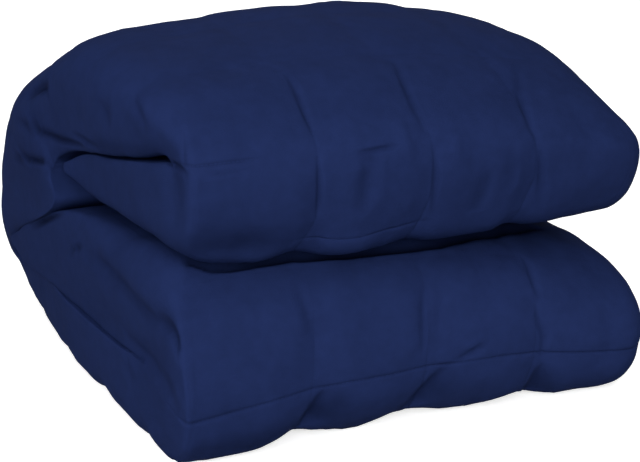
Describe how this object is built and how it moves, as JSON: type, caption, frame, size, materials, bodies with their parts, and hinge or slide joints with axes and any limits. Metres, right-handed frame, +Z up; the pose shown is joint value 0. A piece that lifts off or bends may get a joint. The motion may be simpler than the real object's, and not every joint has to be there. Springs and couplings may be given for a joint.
{
  "type": "weighted blanket",
  "caption": "Thick quilted blanket, folded in thirds, its ends turned in and the strip doubled over, with one round fold behind and two in front.",
  "frame": {"origin": "middle of the footprint, on the surface that the folded blanket lies on", "axes": "+Z up, +Y from the two round fronts to the single back fold, +X from the blunt side to the drooping side"},
  "size_m": [0.4696, 0.5206, 0.3165],
  "materials": {
    "blanket": "matt, brushed"
  },
  "bodies": {
    "root": {"blanket": "blanket"}
  },
  "joints": []
}
